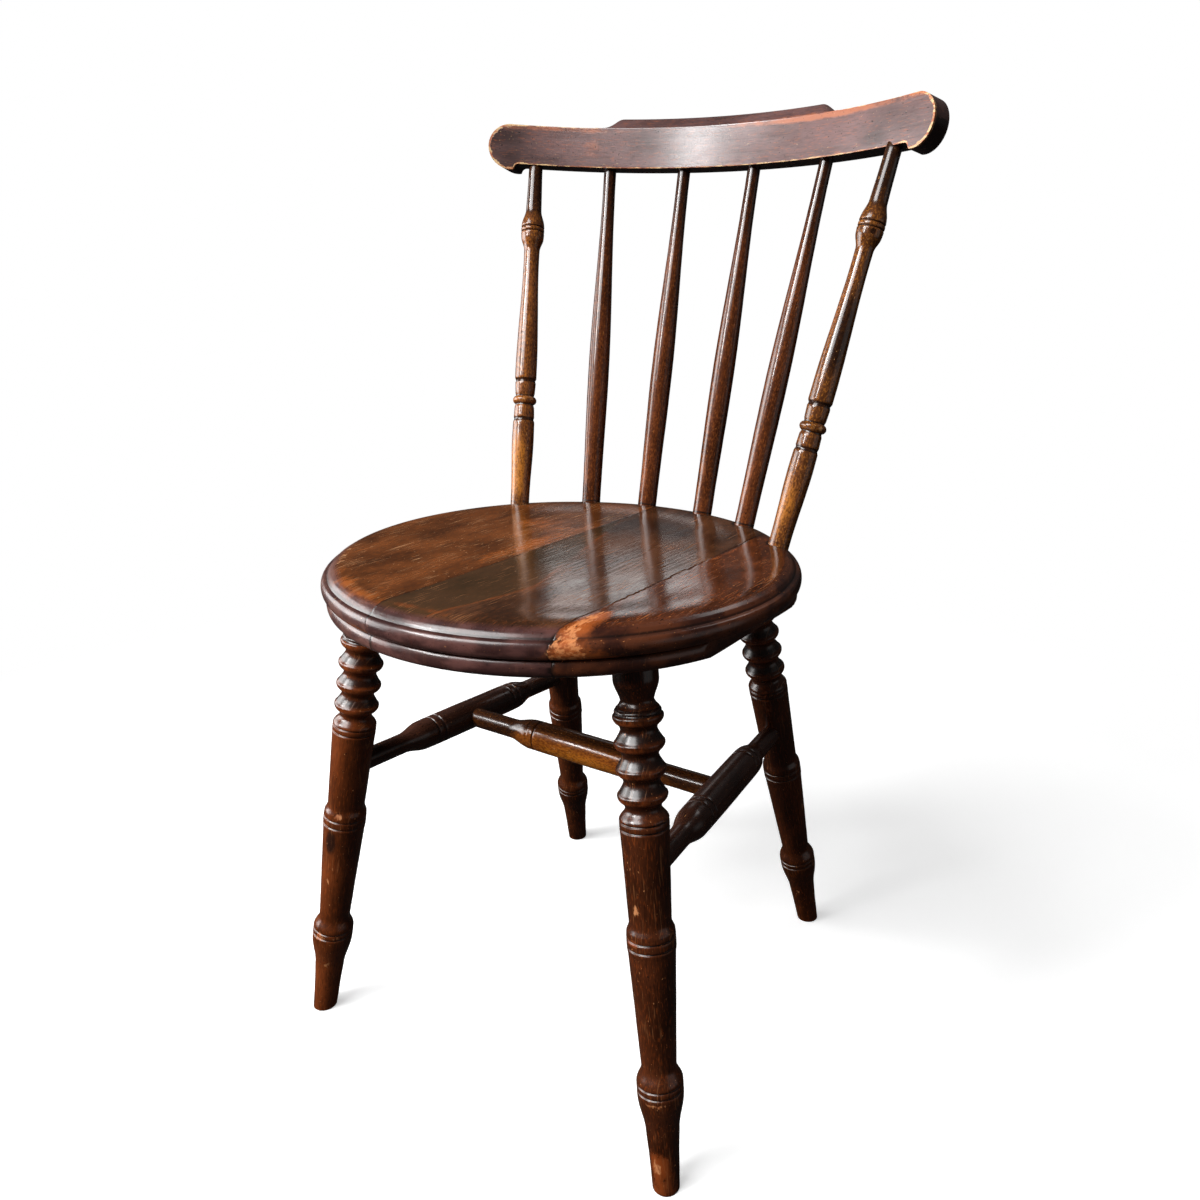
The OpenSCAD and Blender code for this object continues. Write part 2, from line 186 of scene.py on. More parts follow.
def axis_of(node):
    """Centres of the two ends of a turned part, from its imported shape."""
    co = np.unique(np.array([v.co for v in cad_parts[node].data.vertices]).round(6), axis=0)
    d = np.linalg.svd(co - co.mean(0), full_matrices=False)[2][0]
    d *= np.sign(d[np.abs(d).argmax()])
    for _ in range(3):
        t = co @ d
        foot = co[t < t.min() + 0.4 * MM].mean(0)
        head = co[t > t.max() - 0.4 * MM].mean(0)
        if co[:, 2].min() < 0.1 * MM:      # a leg's foot is sawn level with the floor
            foot = co[co[:, 2] < 0.2 * MM].mean(0)
        d = (head - foot) / np.linalg.norm(head - foot)
    return Vector(foot), Vector(head)


def placing(foot, head):
    """Matrix that stands a piece turned about Z on the line from foot to head."""
    z = (head - foot).normalized()
    guide = Vector((0, 0, 1)) if abs(z.x) > 0.9 else Vector((1, 0, 0))
    x = (guide - z * guide.dot(z)).normalized()
    turn = Matrix((x, z.cross(x), z)).transposed().to_4x4()
    return Matrix.Translation(foot) @ turn


def make_piece(bm, name, node, material, sharp=40):
    """Turns a finished bmesh into a piece that stands for a CAD node."""
    if any(not e.is_manifold for e in bm.edges):
        raise RuntimeError(f"{name} isn't closed")
    mesh = bpy.data.meshes.new(name)
    bm.to_mesh(mesh)
    bm.free()
    mesh.materials.append(material)
    mesh.shade_smooth()
    mesh.set_sharp_from_angle(angle=math.radians(sharp))
    piece = bpy.data.objects.new(name, mesh)
    bpy.context.scene.collection.objects.link(piece)
    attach(piece, "root")
    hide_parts(node)
    corners = np.array([v.co for v in mesh.vertices])
    low, high = (np.array(c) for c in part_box(node))
    off = max(np.abs(corners.min(0) - low).max(), np.abs(corners.max(0) - high).max())
    if off > BOX_SLACK:
        raise RuntimeError(f"{name} is {off / MM:.2f} mm off the box of {node}")
    return piece


def turn_piece(node, material, profile, line, marks=(), tenon=0, steps=48, seed=0.0,
               step=2.2, floor=False):
    """Turned piece on the line from its foot to its head, with its wear.

    profile is (height, radius), and marks are (kind, height, degrees round, half height, half
    width, amount), all in millimetres, where kind is worn, grime, bare or dent. Heights start
    at the shoulder, a tenon's length above the foot.
    """
    points = dense([((z + tenon) * MM, r * MM) for z, r in profile], step * MM)
    stand = np.concatenate(([0], crowns(points, 5 * MM), [0]))
    points = [(points[0][0], 0.0)] + points + [(points[-1][0], 0.0)]
    proud = {(round(z * 1e6), round(r * 1e6)): k for (z, r), k in zip(points, stand)}
    bm = spun(points, steps)
    grain, worn, grime_and_shade, bare = layers(bm)[:4]
    for v in bm.verts:
        x, y, z = v.co
        r = math.hypot(x, y)
        k = proud.get((round(z * 1e6), round(r * 1e6)), 0.0)
        v[grain] = (x + seed, y + 0.37 * seed, z + 1.7 * seed)
        v[worn], v[grime_and_shade], v[bare] = max(0.0, k), max(0.0, -k), 0.0
        angle = math.degrees(math.atan2(y, x))
        push = 0.10 * MM * noise.noise(Vector((x + seed, y, z)) * 60)    # not quite round
        for kind, h, deg, dh, dw, amount in marks:
            along = (z / MM - tenon - h) / dh
            if abs(along) > 3:
                continue
            off = 0.0 if dw == RING else math.radians((angle - deg + 180) % 360 - 180) * r / MM
            k = amount * dab(along, 1, off, dw)
            if kind == "dent":
                push -= k * MM
            else:
                v[{"worn": worn, "grime_and_shade": grime_and_shade, "bare": bare}[kind]] += k
        if r > 1e-5:
            v.co.x += x / r * push
            v.co.y += y / r * push
    bmesh.ops.transform(bm, matrix=placing(*line), verts=bm.verts[:])
    if floor:
        rim = saw(bm, (0, 0, 0), (0, 0, -1))
        bmesh.ops.recalc_face_normals(bm, faces=bm.faces[:])
        soften(bm, rim, 0.9, segments=3)
    return make_piece(bm, "turned_" + node, node, material)


# ---------- sizes and colours ----------

class ChairSeat(PropertyGroup):
    radius: length("Seat radius", SEAT_HIGH.x / MM, "Radius of the seat at its roll")
    height: length("Seat height", SEAT_HIGH.z / MM, "Height of the seat's rim")
    thick: length("Seat thickness", (SEAT_HIGH.z - SEAT_LOW.z) / MM,
                  "From the rim to the underside")
    dish: length("Dish", 0.8, "Depth of the dished middle")
    rim: length("Rim", 26, "Width of the rolled rim around the dish")
    joint_left: length("Left board", 175, "Width of the left board at the middle")
    joint_right: length("Right board", 87, "Width of the right board at the middle")
    flat: length("Flat", 15, "Depth of the flat along the right board's lower bead")
    left_colour: finish("Left board", "#743f1a", "Stain of the left board")
    middle_colour: finish("Middle board", "#573520", "Stain of the middle board")
    right_colour: finish("Right board", "#542a15", "Stain of the right board")


class ChairTurnings(PropertyGroup):
    foot: length("Foot", 10.8, "Radius of a foot at the floor")
    ankle: length("Ankle", 18.1, "Radius of the ankle ring")
    ankle_up: length("Ankle height", 87, "Distance of the ankle ring up the leg")
    ring: length("Double ring", 18.7, "Radius of the double ring")
    ring_up: length("Double ring height", 206, "Distance of the double ring up the leg")
    collar: length("Collar", 18.6, "Radius of the collar")
    collar_down: length("Collar drop", 124, "Distance of the collar down from the seat")
    bead: length("Bead", 18.9, "Radius of the four beads")
    bead_down: length("Bead drop", 101.5, "Distance of the lowest bead down from the seat")
    bead_pitch: length("Bead pitch", 19.7, "Distance from bead to bead")
    cove: length("Cove", 13.6, "Radius between the beads")
    vase: length("Vase", 16.9, "Radius of the vase under the seat")
    stretcher: length("Stretcher", 14.5, "Radius of a stretcher's middle")
    stretcher_end: length("Stretcher end", 9.4, "Radius of a stretcher's ends")
    spindle: length("Spindle belly", 10.5, "Radius of a spindle's belly")
    spindle_foot: length("Spindle foot", 9.3, "Radius of a spindle at the seat")
    spindle_top: length("Spindle top", 6.1, "Radius of a spindle at the rail")
    upright_ring: length("Upright ring", 11.6, "Radius of an upright's rings")
    upright_top: length("Upright top", 6.9, "Radius of an upright at the rail")
    leg_colour: finish("Legs", "#45200c", "Stain of the legs")
    side_colour: finish("Side stretchers", "#42251a", "Stain of the side stretchers")
    cross_colour: finish("Cross stretcher", "#ac5c1e", "Stain of the cross stretcher")
    spindle_colour: finish("Spindles", "#5e2f15", "Stain of the spindles")
    upright_colour: finish("Uprights", "#7f4a26", "Stain of the uprights")


class ChairRail(PropertyGroup):
    height: length("Rail height", 36.8, "Height of the rail's front face")
    thick: length("Rail thickness", 21.7, "Thickness of the rail")
    sweep: length("Rail sweep", 441, "Radius of the rail's front face in plan")
    tilt: FloatProperty(name="Rail tilt", description="Backward tilt of the rail",
                        default=math.radians(8), subtype="ANGLE")
    ear: length("Ear", 21.3, "Radius of the rail's round ends")
    ear_out: length("Ear spread", 207.5, "Half spread of the round ends' centres")
    tablet: length("Tablet", 10.9, "Rise of the raised middle")
    tablet_half: length("Tablet half length", 105, "Half length of the raised middle")
    ramp: length("Tablet ramp", 23, "Length of the ramp at each end of the raised middle")
    chamfer: length("Chamfer", 10.8, "Depth of the chamfer along the raised middle")
    # its greyed purple is partly a painted sheen: the stain is raised to stand in for reflected
    # sky
    rail_stain_and_sheen: finish("Crest rail", "#6c504e", "Stain of the rail")


# ---------- wood ----------

def add(tree, kind, inputs=None, ramp=None, **settings):
    """One node with its settings, its ramp stops and its links or values."""
    node = tree.nodes.new(kind)
    for key, value in settings.items():
        setattr(node, key, value)
    for key, value in (inputs or {}).items():
        if isinstance(value, bpy.types.NodeSocket):
            tree.links.new(value, node.inputs[key])
        else:
            node.inputs[key].default_value = value
    if ramp:
        stops = node.color_ramp.elements
        for i, (at, colour) in enumerate(ramp):
            stop = stops[i] if i < 2 else stops.new(at)
            stop.position, stop.color = at, colour
    return node


def stained_beech(name, stain, light="#a8602c", deep="#160c09", raw="#c98a55",
                  gloss=0.24, figure=1.0, blotch=1.0, wear=0.5, speck=0.4, scratch=0.0,
                  mottle=0.0, haze=0.2, tear=(3.4, 3.4, 7.0), edge_stain=None, rim_stain_and_sheen=None):
    """Beech, lathe-turned or planed, walnut-stained and French-polished, then worn.

    The eye gets short dark ray flecks along the grain, uneven stain, polish rubbed through
    to orange wood on whatever stands proud, black wax in whatever lies deep, and a soft gloss.
    light, deep and raw are the colours of rubbed wood, wax and bare wood, gloss and haze the
    roughness of the wood and of the polish on it, tear the size of torn fibres in mm, and
    rim_stain_and_sheen the darker and the lighter colour of end grain: stain, with a painted
    reflection of a pale sky in its purple-grey.
    """
    material = bpy.data.materials.new(name)
    material.use_nodes = True
    t = material.node_tree
    t.nodes.clear()
    axes = add(t, "ShaderNodeAttribute", attribute_name="grain").outputs["Vector"]
    worn, grime_and_shade, bare = (add(t, "ShaderNodeAttribute", attribute_name=label).outputs["Fac"]
                         for label in ("worn", "grime_and_shade", "bare"))
    light, deep, raw = (linear(code) for code in (light, deep, raw))
    dark = [c * 0.42 for c in stain[:3]] + [1]
    warm = [min(1, c * 1.55 + 0.004) for c in stain[:3]] + [1]

    def grains(size, seed, detail=2.0, rough=0.5, turn=0.0):
        """Pattern whose features measure size, in mm, across, through and along the grain."""
        move = add(t, "ShaderNodeMapping", {
            "Vector": axes, "Location": (seed, seed * 1.3, seed * 0.7),
            "Rotation": (0, math.radians(turn), 0), "Scale": tuple(1000 / s for s in size)})
        return add(t, "ShaderNodeTexNoise", {"Vector": move.outputs[0], "Scale": 1.0,
                                             "Detail": detail, "Roughness": rough}).outputs[0]

    def lay(base, pattern, low, high, most, colour):
        """Base with a colour laid on it where a pattern goes from low to high, and how much."""
        much = add(t, RANGE, {"Value": pattern, "From Min": low, "From Max": high,
                              "To Max": most}, interpolation_type="SMOOTHSTEP").outputs[0]
        laid = add(t, MIX, {0: much, 6: base, 7: colour}, data_type="RGBA").outputs[2]
        return laid, much

    # stain: uneven over tens of millimetres, streaked along the grain
    cloud = grains((38, 38, 70), 3.1, detail=3)
    streak = grains((3.2, 3.2, 60), 7.7, detail=3)
    fleck = grains((0.9, 0.9, 6), 1.3, detail=1)
    base = lay(dark, cloud, 0.5 - 0.22 * blotch, 0.5 + 0.22 * blotch, 1.0, warm)[0]
    for pattern, low, high, most, colour in (
            (streak, 0.35, 0.72, 0.45 * figure, stain), (streak, 0.52, 0.30, 0.5 * figure, dark),
            (fleck, 0.56, 0.70, 0.55 * figure, dark), (fleck, 0.42, 0.30, 0.35 * figure, light)):
        base = lay(base, pattern, low, high, most, colour)[0]

    if mottle:
        # pores that kept their stain in a thin golden polish
        pores = grains((1.5, 1.5, 2.6), 14.2)
        base = lay(base, pores, 0.50, 0.64, mottle, dark)[0]
        base = lay(base, pores, 0.46, 0.34, 0.8 * mottle, light)[0]
    if edge_stain:
        # one darker stain stops along a wavering line, with a thin rubbed edge in places
        tone = add(t, "ShaderNodeAttribute", attribute_name="tone").outputs["Fac"]
        side = add(t, MATH, {0: streak, 1: 5.0, 2: tone}, operation="MULTIPLY_ADD").outputs[0]
        base = lay(base, side, 1.5, -1.0, 0.6, linear(edge_stain))[0]
        away = add(t, MATH, {0: side}, operation="ABSOLUTE").outputs[0]
        places = add(t, RANGE, {"Value": cloud, "From Min": 0.38, "From Max": 0.55,
                                "To Max": 0.6}, interpolation_type="SMOOTHSTEP").outputs[0]
        base = lay(base, away, 1.9, 0.5, places, light)[0]
    if rim_stain_and_sheen:
        # end grain round the rim took more stain, much the same on every board; where the rim
        # colours are purple-grey, they are a painted reflection of a pale sky
        rim = add(t, "ShaderNodeAttribute", attribute_name="rim").outputs["Fac"]
        end = add(t, MATH, {0: rim, 1: 0.88}, operation="MULTIPLY").outputs[0]
        drift = lay(linear(rim_stain_and_sheen[0]), grains((24, 12, 24), 27.0, detail=3), 0.38, 0.62,
                    1.0, linear(rim_stain_and_sheen[1]))[0]
        base = add(t, MIX, {0: end, 6: base, 7: drift}, data_type="RGBA").outputs[2]

    # polish rubbed through on what stands proud
    ragged = grains((7, 7, 16), 5.2, detail=5, rough=0.65)
    rub = add(t, MATH, {0: worn, 1: 0.62}, operation="MULTIPLY").outputs[0]
    rub = add(t, MATH, {0: ragged, 1: 0.9, 2: rub}, operation="MULTIPLY_ADD").outputs[0]
    base, rubbed = lay(base, rub, 1.06 - 0.55 * wear, 1.54 - 0.55 * wear, 0.8, light)
    if mottle:
        base = lay(base, pores, 0.50, 0.64, 1.1 * mottle, dark)[0]

    # black wax in what lies deep, and painted shade where it is marked
    depth = add(t, MATH, {0: cloud, 1: 0.35, 2: grime_and_shade}, operation="MULTIPLY_ADD").outputs[0]
    base, waxed = lay(base, depth, 0.42, 0.95, 0.85, deep)

    # bare wood where the finish is gone
    chips = grains(tear, 9.9, detail=5, rough=0.62)
    torn = add(t, MATH, {0: streak, 1: chips}, operation="ADD").outputs[0]
    fresh = lay(light, torn, 0.86, 1.12, 1.0, raw)[0]
    loss = add(t, MATH, {0: chips, 1: 1.3, 2: bare}, operation="MULTIPLY_ADD").outputs[0]
    base, gone = lay(base, loss, 1.10, 1.30, 0.9, fresh)

    # pale specks and dark pinholes
    base = lay(base, grains((1.7, 1.7, 3.2), 12.5), 0.735 - 0.05 * speck, 0.775 - 0.05 * speck,
               0.75 * min(1, speck * 2), raw)[0]
    base = lay(base, grains((1.6, 1.6, 2.2), 21.0, detail=0), 0.21, 0.17, 0.8, deep)[0]

    # what roughens the polish and what stands in relief, each with its weight
    rough_by = [(ragged, 0.16), (rubbed, 0.125), (gone, 0.311), (waxed, 0.06)]
    raised_by = [(fleck, 0.12), (streak, 0.5), (gone, -0.889)]
    if rim_stain_and_sheen:
        rough_by.append((rim, 0.15))
    if scratch:
        # hair-thin scratches in all directions, drawn 0.7 mm wide so that they show
        total = 0.0
        for i, degrees in enumerate((12, 58, 101, 149)):
            places = add(t, RANGE, {"Value": grains((30, 30, 30), 31.0 + i), "From Min": 0.50,
                                    "From Max": 0.62}, interpolation_type="SMOOTHSTEP")
            hairs = add(t, RANGE, {
                "Value": grains((0.7, 30, 22 + 6 * i), 2.0 + 4.1 * i, detail=0, turn=degrees),
                "From Min": 0.72, "From Max": 0.79, "To Max": places.outputs[0]},
                interpolation_type="SMOOTHSTEP")
            total = add(t, MATH, {0: total, 1: hairs.outputs[0]},
                        operation="MAXIMUM").outputs[0]
        if rim_stain_and_sheen:
            flat = add(t, MATH, {0: rim, 1: -0.8, 2: 1.0}, operation="MULTIPLY_ADD").outputs[0]
            total = add(t, MATH, {0: total, 1: flat}, operation="MULTIPLY").outputs[0]
        pale = add(t, MATH, {0: total, 1: 0.55 * scratch}, operation="MULTIPLY").outputs[0]
        base = add(t, MIX, {0: pale, 6: base, 7: raw}, data_type="RGBA").outputs[2]
        raised_by += [(total, -0.5), (grains((3, 3, 45), 41.0), 0.6)]     # cuts, planing

    rough, height = gloss - 0.08, 0.0
    for pattern, weight in rough_by:
        rough = add(t, MATH, {0: pattern, 1: weight, 2: rough},
                    operation="MULTIPLY_ADD").outputs[0]
    for pattern, weight in raised_by:
        height = add(t, MATH, {0: pattern, 1: weight, 2: height},
                     operation="MULTIPLY_ADD").outputs[0]
    relief = add(t, "ShaderNodeBump", {"Height": height, "Strength": 0.35, "Distance": 0.4 * MM})
    shader = add(t, "ShaderNodeBsdfPrincipled", {
        "Base Color": base, "Roughness": rough, "Normal": relief.outputs[0],
        "IOR": 1.5, "Coat Weight": 0.3, "Coat Roughness": haze, "Coat IOR": 1.5})
    add(t, "ShaderNodeOutputMaterial", {"Surface": shader.outputs[0]})
    return material


# ---------- operators ----------

class CHAIR_OT_stage(Operator):
    """Floor, backdrop, lamps and camera"""
    bl_idname = "chair.stage"
    bl_label = "Stage"

    def execute(self, context):
        scene = context.scene
        scene.view_settings.view_transform = "Standard"

        # the floor lies just under the feet, so that no two faces share a plane
        bm = bmesh.new()
        bmesh.ops.create_circle(bm, cap_ends=True, radius=14, segments=96)
        bmesh.ops.translate(bm, vec=(0, 0, -0.4 * MM), verts=bm.verts[:])
        mesh = bpy.data.meshes.new("floor")
        bm.to_mesh(mesh)
        bm.free()
        floor = bpy.data.objects.new("floor", mesh)
        scene.collection.objects.link(floor)

        # plain white paper: no gloss, a soft shadow near the chair and pure white further off
        paper = bpy.data.materials.new("matt_paper")
        paper.use_nodes = True
        t = paper.node_tree
        t.nodes.clear()
        white = (1, 1, 1, 1)
        direct = add(t, "ShaderNodeLightPath").outputs["Is Camera Ray"]
        tint = add(t, MIX, {0: direct, 6: linear("#272727"), 7: linear("#f4f4f4")},
                   data_type="RGBA")
        matt = add(t, "ShaderNodeBsdfDiffuse", {"Color": tint.outputs[2]})
        lift = add(t, MATH, {0: direct, 1: 0.5}, operation="MULTIPLY")
        faint = add(t, "ShaderNodeEmission", {"Color": white, "Strength": lift.outputs[0]})
        near = add(t, "ShaderNodeAddShader", {0: matt.outputs[0], 1: faint.outputs[0]})
        glow = add(t, "ShaderNodeEmission", {"Color": white, "Strength": 1.0})
        coords = add(t, "ShaderNodeTexCoord")
        reach = add(t, "ShaderNodeVectorMath", {0: coords.outputs["Object"]}, operation="LENGTH")
        far = add(t, RANGE, {"Value": reach.outputs["Value"], "From Min": 0.45,
                             "From Max": 1.3}, interpolation_type="SMOOTHSTEP")
        seen = add(t, MATH, {0: far.outputs[0], 1: direct}, operation="MULTIPLY")
        blend = add(t, "ShaderNodeMixShader", {0: seen.outputs[0], 1: near.outputs[0],
                                               2: glow.outputs[0]})
        add(t, "ShaderNodeOutputMaterial", {"Surface": blend.outputs[0]})
        mesh.materials.append(paper)

        world = bpy.data.worlds.new("studio")
        scene.world = world
        world.use_nodes = True
        t = world.node_tree
        t.nodes.clear()
        path = add(t, "ShaderNodeLightPath")
        strength = add(t, RANGE, {"Value": path.outputs["Is Camera Ray"], "To Min": 0.06,
                                  "To Max": 1.0})
        gleam = add(t, MATH, {0: path.outputs["Is Glossy Ray"], 1: -0.03,
                              2: strength.outputs[0]}, operation="MULTIPLY_ADD")
        sky = add(t, "ShaderNodeBackground", {"Color": white, "Strength": gleam.outputs[0]})
        add(t, "ShaderNodeOutputWorld", {"Surface": sky.outputs[0]})

        # name, place, aim, width, height, watts
        for name, place, aim, wide, high, watts in (
                ("key", (-0.75, -2.0, 2.6), (0, 0, 0.45), 1.9, 1.3, 78),
                ("panel", (-1.38, -2.74, 2.05), (0, 0.1, 0.6), 0.36, 0.5, 20),
                ("window", (-0.98, 1.6, 1.11), (0.1, -0.08, 0.447), 0.46, 0.09, 0.29),
                ("side", (-2.6, -0.45, 1.0), (0, 0, 0.6), 1.8, 1.2, 27),
                ("left", (-2.1, -1.2, 0.9), (0, 0, 0.45), 1.2, 1.2, 23),
                ("high", (-2.5, -3.0, 3.05), (0, 0, 0.3), 1.0, 0.6, 64),
                ("back", (0.7, 2.3, 3.2), (0, 0, 0.45), 1.2, 0.9, 9),
                ("fill", (2.6, 0.2, 0.7), (0, 0, 0.4), 2.2, 1.4, 2.6)):
            lamp = bpy.data.lights.new(name, "AREA")
            lamp.shape = "RECTANGLE"
            lamp.size, lamp.size_y, lamp.energy = wide, high, watts
            holder = bpy.data.objects.new(name, lamp)
            holder.location = place
            way = Vector(aim) - Vector(place)
            holder.rotation_euler = way.to_track_quat("-Z", "Y").to_euler()
            scene.collection.objects.link(holder)

        camera = bpy.data.cameras.new("camera")
        camera.lens, camera.sensor_width = 29.43, 36
        camera.shift_x, camera.shift_y = -0.0472, -0.0035
        holder = bpy.data.objects.new("camera", camera)
        eye, aim = Vector((0.47864, -0.69078, 0.67823)), Vector((-0.0745, 0.23699, 0.31765))
        ahead = (aim - eye).normalized()
        right = ahead.cross(Vector((0, 0, 1))).normalized()
        right = Matrix.Rotation(math.radians(-0.577), 3, ahead) @ right     # held a little aslant
        up = right.cross(ahead)
        holder.matrix_world = Matrix.Translation(eye) @ \
            Matrix((right, up, -ahead)).transposed().to_4x4()
        scene.collection.objects.link(holder)
        scene.camera = holder
        return {"FINISHED"}


class CHAIR_OT_seat(Operator):
    """Three glued boards, turned together into one round, rolled-edge seat"""
    bl_idname = "chair.seat"
    bl_label = "Seat boards"

    def execute(self, context):
        s = context.scene.chair_seat
        edge, thick, dish = s.radius / MM, s.thick / MM, s.dish / MM
        bowl = edge - s.rim / MM
        low, half = (-GROOVE - thick) / 2, (thick - GROOVE) / 2     # of the lower bead
        top = [(-dish, 0)]
        for k in range(1, 13):
            rise = dish * (1 - math.cos(math.pi * k / 12)) / 2
            top.append((-dish + rise, bowl * (0.78 + 0.22 * k / 12)))
        top += [(-0.1, edge - 20)]
        side = [top[-1], (-0.6, edge - 15), (-1.7, edge - 11.3), (-3.6, edge - 8.2),
                (-5.9, edge - 6.2), (-7.4, edge - 5.2), (-8, edge - 3.4)]
        side += [(-14.5 + 7.15 * math.sin(math.radians(a)),
                  edge - 2.5 + 5 * (math.cos(math.radians(a)) - 0.5)) for a in range(60, -61, -12)]
        side += [(1 - GROOVE, edge - 6.5), (-GROOVE, edge - 6.5)]
        side += [(low + half * math.sin(math.radians(a)),
                  edge - 7 + 4 * math.cos(math.radians(a))) for a in range(75, -76, -15)]
        side += [(-thick, edge - 9)]
        fine = []                             # closest together where the moulding is
        for part, step in ((top, 3.2), (side, 1.1), ([side[-1], (-thick, 0)], 12)):
            fine += dense([(z * MM, r * MM) for z, r in part], step * MM)[1 if fine else 0:]
        centre = (SEAT_LOW + SEAT_HIGH) / 2
        centre.z = s.height
        aslant = Matrix.Rotation(math.radians(-2), 4, "Z")      # of the boards to the chair
        place = Matrix.Translation(centre) @ aslant
        feet = []                             # where the spindles and uprights enter the seat
        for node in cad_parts:
            if "spindle" in node or "upright" in node:
                foot, head = axis_of(node)
                foot = foot.lerp(head, SEAT_TENON * MM / (head - foot).length)
                feet.append(place.inverted() @ foot)
        ends = (-s.radius + s.joint_left, s.radius - s.joint_right)
        glossy = dict(gloss=0.14, haze=0.13, blotch=0.6)
        # the purple-grey rim colours of the left and middle boards are partly a painted reflection
        # of a pale sky
        looks = (dict(light="#b8642a", raw="#dba97c", wear=0.55, speck=0.7, scratch=1.0,
                      gloss=0.18, haze=0.14, blotch=0.7, rim_stain_and_sheen=("#43292b", "#745049")),
                 dict(light="#8e4a22", raw="#c98a5c", wear=0.35, speck=0.3, scratch=0.7,
                      edge_stain="#43321c", rim_stain_and_sheen=("#3d2425", "#6a4541"), **glossy),
                 dict(light="#c8662a", raw="#f29c5e", wear=0.45, speck=0.5, scratch=0.5,
                      tear=(2.4, 2.4, 9), rim_stain_and_sheen=("#3a1d16", "#6b3a24"), **glossy))
        rows = ((SEAT_NODES[0], "seat_left", s.left_colour, None, ends[0], 0.0),
                (SEAT_NODES[1], "seat_middle", s.middle_colour, ends[0], ends[1], 0.6),
                (SEAT_NODES[2], "seat_right", s.right_colour, ends[1], None, 1.3))
        for (node, slot, stain, x0, x1, seed), look in zip(rows, looks):
            bm = spun(fine, 320)
            flat_x = s.radius - 3 * MM - s.flat          # the lower bead lies 3 mm in
            rims = []
            for at, way in ((x0, -1), (x1, 1)):
                if at is not None:
                    rims += saw(bm, (at, 0, 0), (way, 0, 0))
            bmesh.ops.recalc_face_normals(bm, faces=bm.faces[:])
            soften(bm, [e for e in rims if e.is_valid], 0.35)
            marked = layers(bm)
            for v in bm.verts:
                self.mark(v, s, marked, feet, ends, seed)
                if slot == "seat_right" and v.co.z < (0.1 - GROOVE) * MM:
                    v.co.x = min(v.co.x, flat_x)
            bmesh.ops.transform(bm, matrix=place, verts=bm.verts[:])
            make_piece(bm, "glued_" + node, node,
                       stained_beech("stained_beech_" + slot, list(stain), **look), sharp=35)
        return {"FINISHED"}

    @staticmethod
    def mark(v, s, marked, feet, ends, seed):
        """Wear, soiling, some painted shade and small unevenness of one point of the seat, front
        towards -Y.
        """
        grain, worn, grime_and_shade, bare, tone, rim = marked
        x, y, z = (c / MM for c in v.co)
        v[grain] = (v.co.x + seed, v.co.z, v.co.y + seed)
        r = math.hypot(x, y)
        edge = s.radius / MM - r
        turn = math.degrees(math.atan2(y, x))
        left, right = (e / MM for e in ends)

        def spot(px, py, wide, tall):
            return dab(x - px, wide, y - py, tall)

        def around(middle, reach):
            return dab((turn - middle + 180) % 360 - 180, reach)

        wear = dirt_and_shade = skin = 0.0
        if z > -ROLL and r > 1:               # top face
            wear += 0.3 * smooth_step(edge, 60, 20)
            dirt_and_shade += 0.8 * dab(edge - 5.2, 1.4)
            wear += 1.0 * spot(left - 14, -15, 20, 75) + 0.9 * spot(-80, 62, 38, 28)
            dirt_and_shade += 0.5 * spot(-60, -168, 26, 12) + 0.4 * spot(-150, 30, 36, 60)
            # heavier over the back of the middle board, partly painted shade where it reflects
            # little light
            dirt_and_shade += 0.65 * spot(25, 110, 85, 55) + 0.35 * spot(-90, 130, 60, 30)
            skin += 0.46 * around(-139, 17) * dab(edge - 17, 8)
            wear += 0.7 * around(-112, 14) * dab(edge - 16, 8)
            wear += 0.9 * spot(-6, -178, 13, 5) + 0.9 * spot(24, -176, 17, 5)
            wear += 0.9 * dab(x - right - 4, 4) * smooth_step(y, 20, 40) * smooth_step(y, 125, 100)
        elif z < 0.5 - GROOVE:                # lower bead and underside
            dirt_and_shade += 0.3
            wear += 0.3 * smooth_step(z, -26, -29) * smooth_step(edge, 8, 4)
        else:                                 # roll
            wear += (0.45 + 0.5 * around(-130, 50)) * smooth_step(z, -14, -19.5)
            dirt_and_shade += 0.5 * smooth_step(z, -9.5, -7.5)
            skin += 0.3 * around(-160, 25) * smooth_step(z, -13, -18)
        # a tongue of bare wood that runs out along the right joint and over the roll
        if y < -80 and z > 1 - GROOVE:
            reach = smooth_step(-y, 92, 116)
            middle = right + 7 + 3 * smooth_step(-z, 5, 14)
            half = 1.5 + 4.5 * reach + 7 * smooth_step(-z, 5, 14)
            if x > right - 8 * smooth_step(edge, 16, 4):
                skin += (0.56 + 0.12 * smooth_step(-y, 100, 140)) * reach \
                    * math.exp(-((x - middle) / half) ** 4)
            wear += 1.1 * dab(x - middle - 2, half * 1.6) * reach
        dirt_and_shade += 0.9 * dab(z + GROOVE - 0.4, 0.8)         # wax in the line over the lower bead
        if min(abs(x - left), abs(x - right)) < 0.45:    # and in the glued joints
            dirt_and_shade += 0.6
        for foot in feet:
            near = math.hypot(x - foot.x / MM, y - foot.y / MM)
            if z > -3 and near < 25:          # and round each spindle: wax, and a painted contact shadow where it meets the seat
                dirt_and_shade += 0.9 * dab(near - 10, 2.5)
        v[worn], v[grime_and_shade], v[bare] = wear, dirt_and_shade, skin
        v[rim] = smooth_step(edge, 17, 9) if z > -ROLL else 1.0
        # how far right of a stain edge this point lies; the edge fades towards the back
        v[tone] = x - 29.5 - 0.19 * (y + 166) + 0.5 * max(0, y + 90)
        uneven = noise.noise(Vector((x, y, 300 + 1000 * seed)) * 0.022)
        v.co.z += 0.12 * MM * uneven          # planed by hand, so reflections waver


